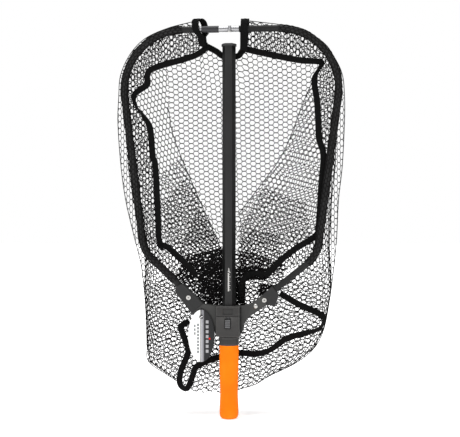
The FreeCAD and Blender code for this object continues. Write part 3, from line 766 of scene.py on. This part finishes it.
def band_between(rim, tube, tube_part, layers):
    """Layers of netting from the rim tape out to the hoop tube: matrix, bulge and least depth."""
    outline = rim + tube_part
    near_rim, near_tube = nearness(rim), nearness(tube)
    low = np.min(outline, axis=0)
    high = np.max(outline, axis=0)
    made = []
    for matrix, bulge, base in layers:
        def depth(x, z, bulge=bulge, base=base):
            a, b = near_rim(x, z), near_tube(x, z)
            share = a / np.maximum(a + b, 1e-6)
            return base + bulge * np.sin(math.pi * share) + 0.8 * np.sin(x / 9 + z / 13)
        made.append(weave_net(polygon_surface(depth), lambda x, z: inside(outline, x, z),
                              low, high, matrix))
    return made


left_part = [tuple(p) for p in left_tube if p[1] > 222][::-1]
right_part = [tuple(p) for p in right_tube if p[1] > 232][::-1]
turned = ((0.60, 0.04), (0.05, 1.28))
mirrored = ((0.60, -0.04), (-0.05, 1.28))
net_parts += band_between(rim_left, left_tube, left_part,
                          [(turned, 2.0, 8.2), (((0.66, -0.1), (0.2, 1.15)), 9.0, 9.5)])
net_parts += band_between(rim_right, right_tube, right_part,
                          [(mirrored, 2.0, 8.2), (((0.66, 0.1), (-0.2, 1.15)), 9.0, 9.5)])


def back_depth(x, z):
    left, right = side_edges(z)
    front, back = row_value(z, 3), row_value(z, 4)
    share = np.clip(np.abs(x - (left + right) / 2) / ((right - left) / 2), 0, 1)
    return front + (back - front) * (1 - share ** 2.3) ** (1 / 2.3)


def gusset(outline, rim, fold, matrix, share_back, power):
    """A slack inner layer that goes from the rim tape back to the fold line. share_back is how far
    it goes towards the bag's back."""
    near_rim, near_fold = nearness(rim), nearness(fold)

    def depth(x, z):
        a, b = near_rim(x, z), near_fold(x, z)
        share = (a / np.maximum(a + b, 1e-6)) ** power
        return 9.0 + (back_depth(x, z) * share_back - 9.0) * share + 1.5 * np.sin(x / 11 + z / 17)
    low, high = np.min(outline, axis=0), np.max(outline, axis=0)
    return weave_net(polygon_surface(depth), lambda x, z: inside(outline, x, z), low, high, matrix)


fold_left_line = [(-123, 581), (-106, 504), (-21, 297)]
fold_right_line = [(152, 626), (131, 579), (109, 522), (82, 473), (7, 377), (7, 300)]
gusset_left = [(-100, 490), (-21, 297), (-14, 262), (-61, 262), (-78, 282), (-118, 318),
               (-131, 322), (-135, 393), (-140, 440)]
gusset_right = [(152, 620), (131, 579), (109, 522), (82, 473), (7, 377), (8, 262), (65, 262),
                (111, 306), (158, 337), (165, 357), (168, 424), (166, 500), (158, 560)]
low_left = [(-84, 450), (-14, 305), (-14, 225), (-40, 225), (-61, 262), (-118, 318), (-128, 400)]
low_right = [(60, 430), (14, 350), (14, 255), (65, 262), (111, 306), (152, 335), (140, 400)]
lowest_left = [(-62, 390), (-14, 300), (-14, 225), (-40, 225), (-61, 262), (-100, 300)]
lowest_right = [(40, 350), (14, 320), (14, 255), (65, 262), (100, 295), (90, 340)]
for outline, rim, line, matrix, share_back, power in (
    (gusset_left, rim_left, fold_left_line, ((0.78, 0.3), (-0.25, 0.95)), 0.93, 1.2),
    (gusset_right, rim_right, fold_right_line, ((0.78, -0.3), (0.25, 0.95)), 0.93, 1.2),
    (low_left, rim_left, fold_left_line, ((0.7, -0.2), (0.3, 0.9)), 0.6, 1.0),
    (low_right, rim_right, fold_right_line, ((0.7, 0.2), (-0.3, 0.9)), 0.6, 1.0),
    (lowest_left, rim_left, fold_left_line, ((0.6, 0.1), (-0.1, 0.7)), 0.42, 1.0),
    (lowest_right, rim_right, fold_right_line, ((0.6, -0.1), (0.1, 0.7)), 0.42, 1.0),
):
    net_parts.append(gusset(outline, rim, line, matrix, share_back, power))

# netting gathered into bunches over the yoke: outline, number of layers and size of the cells
bunch_left = [(-62, 262), (-34, 290), (-9, 296), (-9, 203), (-40, 206), (-56, 232)]
bunch_right = [(9, 276), (40, 282), (78, 274), (66, 256), (30, 256), (27, 203), (9, 203)]
slack_left = [(-104, 262), (-80, 300), (-9, 318), (-9, 203), (-50, 206), (-84, 236)]
slack_right = [(9, 203), (9, 312), (50, 304), (104, 284), (96, 246), (64, 216), (28, 203)]
arm_right = [(58, 250), (88, 246), (84, 226), (62, 218), (52, 232)]


def bunch_depth(layer, size):
    """Layers one behind another, which pass behind the yoke at their lower end."""
    def depth(x, z):
        return (7.0 + 12.0 * size + 3.0 * layer + 1.2 * np.sin(x / 4.0 + layer)
                + 1.0 * np.sin(z / 6.0) + 8.0 * smooth_step((219.0 - z) / 7.0))
    return depth


for outline, layers, size in ((bunch_left, 2, 0.58), (bunch_right, 4, 0.55), (arm_right, 3, 0.55),
                              (slack_left, 4, 0.80), (slack_right, 2, 0.85)):
    for layer in range(layers):
        lean = 0.5 * size * (layer - (layers - 1) / 2)
        net_parts.append(weave_net(
            polygon_surface(bunch_depth(layer, size)),
            lambda x, z, outline=outline: inside(outline, x, z),
            np.min(outline, axis=0), np.max(outline, axis=0),
            ((size, lean), (-lean, size * 0.95)), thickness=1.2))

WRAP_RADIUS = 6.75      # of the netting that is wrapped round the hoop tube


def wrap(path, low_z, beyond):
    """A sleeve of netting on the part of the tube above low_z and further out than beyond."""
    path = np.array(path, float)
    path = path[(path[:, 1] > low_z) & (np.abs(path[:, 0]) > beyond)]
    along = np.concatenate([[0.0], np.cumsum(np.hypot(*np.diff(path, axis=0).T))])
    run = np.gradient(path, axis=0)
    run /= np.hypot(run[:, 0], run[:, 1])[:, None]

    def surface(x, z):
        radius = WRAP_RADIUS + 0.25 * np.sin(z / 7.0)
        px, pz = np.interp(z, along, path[:, 0]), np.interp(z, along, path[:, 1])
        rx, rz = np.interp(z, along, run[:, 0]), np.interp(z, along, run[:, 1])
        angle = x / WRAP_RADIUS
        out = radius * np.sin(angle)
        return np.stack([px + out * rz, -radius * np.cos(angle), pz - out * rx], axis=1)
    reach = 2.6 * WRAP_RADIUS
    return weave_net(surface, lambda x, z: (np.abs(x) < reach) & (z > 1) & (z < along[-1] - 1),
                     (-reach, 0), (reach, along[-1]), ((0.62, 0.1), (-0.1, 0.95)))


net_parts += [wrap(left_tube, 240, 73), wrap(right_tube, 240, 40)]


def on_front(line, shift):
    return [(x + shift, float(front_depth(np.array(x), np.array(z))), z) for x, z in line]


def on_back(line):
    return [(x, back_depth(np.array(x), np.array(z)) * 0.93, z) for x, z in line]


# seam cords: the outline, the fold lines, and a crease low on the front
rows = len(bag_rows)
for line in (
    on_front(bag_outline[1:rows], 0.6),
    on_front(bag_outline[rows:-1], -0.6),
    on_back(fold_left_line),
    on_back(fold_right_line[:5]),
    [(67, 20.0, 212), (81, 20.3, 194), (99, 20.4, 177), (114, 20.4, 170)],
):
    net_parts.append(strand_along(smooth_line([[float(v) for v in p] for p in line], 6.0), 0.75))

points, faces = join(net_parts)
net = new_piece("net_mesh", points * MM, faces, "netting")
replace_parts(net, "net_bag")

# --- tapes --------------------------------------------------------------------------------

TAPE_WIDTH = 11.6
TAPE_THICKNESS = 1.0
TAPE_STEP = 2.5
# half of the tape's section and its mirror: across in widths, through in thicknesses
TAPE_SECTION = ((-0.5, -0.15), (-0.42, -0.5), (0.0, -0.42), (0.42, -0.5), (0.5, -0.15),
                (0.5, 0.15), (0.42, 0.5), (0.0, 0.42), (-0.42, 0.5), (-0.5, 0.15))


def ribbon(name, route):
    """A flat tape along route, a list of (x, y, z, roll in degrees), in millimetres."""
    line = smooth_line(route, TAPE_STEP)
    profile = [(across * TAPE_WIDTH, through * TAPE_THICKNESS) for across, through in TAPE_SECTION]
    points, faces, uv = [], [], []
    count = len(profile)
    travelled = 0.0
    for i, spot in enumerate(line):
        run = line[min(i + 1, len(line) - 1)][:3] - line[max(i - 1, 0)][:3]
        run /= np.linalg.norm(run)
        if i:
            travelled += np.linalg.norm(spot[:3] - line[i - 1][:3])
        face = np.array((0.0, -1.0, 0.0))
        face -= run * (face @ run)
        face /= np.linalg.norm(face)
        side = np.cross(run, face)
        roll = math.radians(spot[3])
        turned_side = side * math.cos(roll) + face * math.sin(roll)
        turned_face = face * math.cos(roll) - side * math.sin(roll)
        for across, through in profile:
            points.append(spot[:3] + turned_side * across + turned_face * through)
            uv.append((travelled * MM, across * MM))
    for i in range(len(line) - 1):
        for k in range(count):
            a, b = i * count + k, i * count + (k + 1) % count
            faces.append((a, b, b + count, a + count))
    faces.append(tuple(range(count - 1, -1, -1)))
    faces.append(tuple(range(len(points) - count, len(points))))
    tape = new_piece(name, np.array(points) * MM, faces, "webbing", uv=uv)
    return tape


def rim_tape(name, rim, rolls):
    """The tape along one side of the bag's mouth, just behind the hoop tube."""
    return ribbon(name, [(x, 7.0 + 0.6 * math.sin(z / 30), z, roll)
                         for (x, z), roll in zip(rim, rolls)])


tape_left = rim_tape("mouth_tape_left", rim_left,
                     [0, 0, 8, 20, 10, 40, 72, 60, 25, 6, 0, 0, 0, -20, -10, 0, 0])
tape_right = rim_tape("mouth_tape_right", rim_right,
                      [0, 0, 0, 20, 60, 50, 20, 0, 0, 0, 0, 5, 10, 15, 0, 0])
tape_top = ribbon("mouth_tape_top", [(-43.0, 14.1, 691.0, 0), (-26.0, 14.1, 682.0, 10),
                                     (-11.0, 14.1, 672.0, 10), (14.0, 14.1, 672.0, 10),
                                     (22.0, 14.1, 680.0, 0), (30.0, 14.1, 688.0, 0)])
# the low tape's route: x, z and roll
bag_line = [(93.0, 231.0, 0), (124.0, 213.0, 0), (170.0, 191.0, 20), (173.0, 177.0, 60),
            (160.0, 163.0, 45), (108.0, 148.0, 10), (76.0, 126.0, 30), (48.0, 118.0, 0),
            (18.0, 119.0, 0), (-21.0, 111.0, 0), (-46.0, 102.0, 0), (-64.0, 92.0, 0),
            (-70.0, 77.0, 10), (-79.0, 54.0, 20), (-87.0, 51.0, 30), (-95.0, 62.0, 10),
            (-92.5, 85.0, 0), (-79.0, 120.0, 0), (-85.0, 143.0, 0), (-92.0, 161.0, 0),
            (-91.0, 169.0, 0), (-77.0, 178.0, 0)]
low_tape = ribbon("bag_tape_low", [(x, 19.0, z, roll) for x, z, roll in bag_line])
gather_right = ribbon("gather_tape_right",
                      [(65.0, 8.6, 264.0, 0), (50.0, 10.0, 268.0, 20), (34.0, 11.0, 264.0, 30),
                       (24.0, 12.0, 254.0, 10), (21.0, 13.5, 236.0, 0), (21.5, 15.0, 214.0, 0)])
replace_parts(tape_left, "rim_tape_left")
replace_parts(tape_right, "rim_tape_right")
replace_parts(tape_top, "rim_tape_top")
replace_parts(low_tape, "bag_tape")

HOOP_TOP = 720.5        # height of the hoop tube's centre line at the tip


def hoop_loop(name, node, low_x, high_x, skew, lean):
    """A tape loop over the hoop tube, pinched and sewn below it. Its back is off to the side by
    twice skew, and its lower end by lean."""
    low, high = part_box(node)
    top, bottom = high.z / MM, low.z / MM - 5.0
    tube_z = HOOP_TOP
    outer = [(0.0, top), (3.8, top - 1.6), (6.6, top - 6.0), (7.6, tube_z + 5.0), (7.7, tube_z),
             (7.0, tube_z - 5.0), (3.6, tube_z - 9.6), (1.4, tube_z - 13.0), (1.15, tube_z - 17.0),
             (1.15, bottom + 8.0), (1.3, bottom)]
    route = [(y, z) for y, z in outer[::-1]] + [(-y, z) for y, z in outer[1:]]
    line = smooth_line([(y, z, 0.0) for y, z in route], 1.6)
    width = high_x - low_x
    points, faces, uv = [], [], []
    columns = 7
    thickness = 1.1
    travelled = 0.0
    for i, spot in enumerate(line):
        run = line[min(i + 1, len(line) - 1)] - line[max(i - 1, 0)]
        run /= np.linalg.norm(run)
        inward = (run[1], -run[0])
        if i:
            travelled += float(np.linalg.norm(spot - line[i - 1]))
        for side in (0.0, thickness):
            for c in range(columns):
                share = c / (columns - 1)
                pinch = 1.0 - 0.05 * math.cos(2 * math.pi * travelled / 40.0)
                x = (low_x + high_x) / 2 + (share - 0.5) * width * pinch
                x += skew * (1.0 + spot[0] / 7.7) + lean * (tube_z - spot[1]) / 30.0
                soft = 0.25 * math.sin(3 * math.pi * share + spot[1] / 5)
                points.append((x, spot[0] + inward[0] * (side + soft),
                               spot[1] + inward[1] * (side + soft)))
                uv.append((travelled * MM, share * width * MM))
    ring = 2 * columns
    order = list(range(columns)) + list(range(ring - 1, columns - 1, -1))
    for i in range(len(line) - 1):
        for k in range(ring):
            a, b = i * ring + order[k], i * ring + order[(k + 1) % ring]
            faces.append((a, b, b + ring, a + ring))
    for start in (0, (len(line) - 1) * ring):
        for c in range(columns - 1):
            faces.append((start + c, start + c + 1, start + columns + c + 1, start + columns + c))
    piece = new_piece(name, np.array(points) * MM, faces, "webbing", uv=uv)
    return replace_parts(piece, node)


loop_left = hoop_loop("hoop_loop_left", "tape_loop_left", -67.5, -54.5, 8.0, 5.0)
loop_right = hoop_loop("hoop_loop_right", "tape_loop_right", 21.5, 35.5, 0.5, -1.5)

# --- marks on the handle tube -------------------------------------------------------------


def plate_piece(name, boxes, material, body):
    """Thin printed marks as low plates."""
    points, faces = [], []
    for low, high in boxes:
        base = len(points)
        for x in (low[0], high[0]):
            for y in (low[1], high[1]):
                for z in (low[2], high[2]):
                    points.append((x * MM, y * MM, z * MM))
        faces += [tuple(base + i for i in f) for f in
                  ((0, 1, 3, 2), (4, 6, 7, 5), (0, 4, 5, 1), (2, 3, 7, 6), (0, 2, 6, 4), (1, 5, 7, 3))]
    piece = new_piece(name, points, faces, "anodised_tube", smooth=False)
    piece.data.materials.clear()
    piece.data.materials.append(material)
    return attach(piece, body)


print_look = Look("print_look", (0.62, 0.61, 0.58), 0.5)
print_look.color(print_look.mix(print_look.noise(900, 4), (0.45, 0.44, 0.42), (0.72, 0.71, 0.68)))
print_look.bump(print_look.noise(1500, 2), 0.00002, 0.3)
face_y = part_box("handle_tube")[0].y / MM
marks = [((-1.0, face_y - 0.03, 236.0), (0.9, face_y + 0.02, 270.0))]
for k in range(9):
    z = 238.0 + 4.0 * k
    marks.append(((1.6, face_y - 0.03, z), (3.6 - 1.0 * (k % 2), face_y + 0.02, z + 1.3)))
for k in range(3):
    marks.append(((-1.0 + 0.5 * k, face_y - 0.03, 272.0 + 2.6 * k),
                  (2.6 - 0.6 * k, face_y + 0.02, 273.6 + 2.6 * k)))
plate_piece("tube_marks", marks, print_look.material, "handle")

# --- riding -------------------------------------------------------------------------------

for piece in (net, tape_top, low_tape):
    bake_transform(piece)
for piece, body in ((tape_left, "left_half"), (loop_left, "left_half"), (tape_right, "head"),
                    (loop_right, "head"), (gather_right, "head")):
    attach(piece, body)

# --- stage, world and lights --------------------------------------------------------------


def make_floor():
    """A wide pale floor that also glows a little, so that it stays white round the object."""
    mesh = bpy.data.meshes.new("floor")
    size = 14.0
    low = min(cad_low.z, 0.0)
    mesh.from_pydata([(-size, -size, low), (size, -size, low), (size, size, low), (-size, size, low)],
                     [], [(0, 1, 2, 3)])
    look = Look("floor_look", (0.90, 0.90, 0.90), 0.85, specular=0.1)
    look.color(look.mix(look.noise(3, 2), (0.88, 0.88, 0.88), (0.92, 0.92, 0.92)))
    look.set(Emission_Color=(1.0, 1.0, 1.0, 1.0), Emission_Strength=0.46)
    mesh.materials.append(look.material)
    floor = bpy.data.objects.new("floor", mesh)
    bpy.context.scene.collection.objects.link(floor)


def soft_light(name, place, aim, size, power):
    """A rectangular area light at place, turned towards aim."""
    data = bpy.data.lights.new(name, "AREA")
    data.shape = "RECTANGLE"
    data.size, data.size_y = size
    data.energy = power
    light = bpy.data.objects.new(name, data)
    light.location = place
    light.rotation_euler = (Vector(aim) - Vector(place)).to_track_quat("-Z", "Y").to_euler()
    bpy.context.scene.collection.objects.link(light)


def make_world():
    """A white backdrop that lights the object less than it shows."""
    world = bpy.data.worlds.new("studio")
    bpy.context.scene.world = world
    world.use_nodes = True
    nodes, links = world.node_tree.nodes, world.node_tree.links
    seen = nodes["Background"]
    seen.inputs["Color"].default_value = (1.0, 1.0, 1.0, 1.0)
    seen.inputs["Strength"].default_value = 1.0
    lit = nodes.new("ShaderNodeBackground")
    lit.inputs["Color"].default_value = (1.0, 1.0, 1.0, 1.0)
    lit.inputs["Strength"].default_value = 0.36
    choose = nodes.new("ShaderNodeMixShader")
    links.new(nodes.new("ShaderNodeLightPath").outputs["Is Camera Ray"], choose.inputs["Fac"])
    links.new(lit.outputs["Background"], choose.inputs[1])
    links.new(seen.outputs["Background"], choose.inputs[2])
    links.new(choose.outputs["Shader"], nodes["World Output"].inputs["Surface"])


def top_light():
    """Broad light from above, mostly for the floor."""
    data = bpy.data.lights.new("top", "SUN")
    data.energy = 2.7
    data.angle = math.radians(50)
    light = bpy.data.objects.new("top", data)
    light.rotation_euler = (math.radians(4), math.radians(-5), 0)
    bpy.context.scene.collection.objects.link(light)


make_floor()
make_world()
top_light()
bpy.context.scene.view_settings.view_transform = "Standard"
soft_light("key", (-1.3, -2.2, 1.5), (0, 0, 0.35), (1.2, 1.6), 20.0)
soft_light("fill", (1.9, -1.7, 0.9), (0, 0, 0.35), (1.2, 1.6), 10.0)
soft_light("back", (0.4, 2.2, 1.9), (0, 0, 0.4), (1.8, 1.2), 14.0)
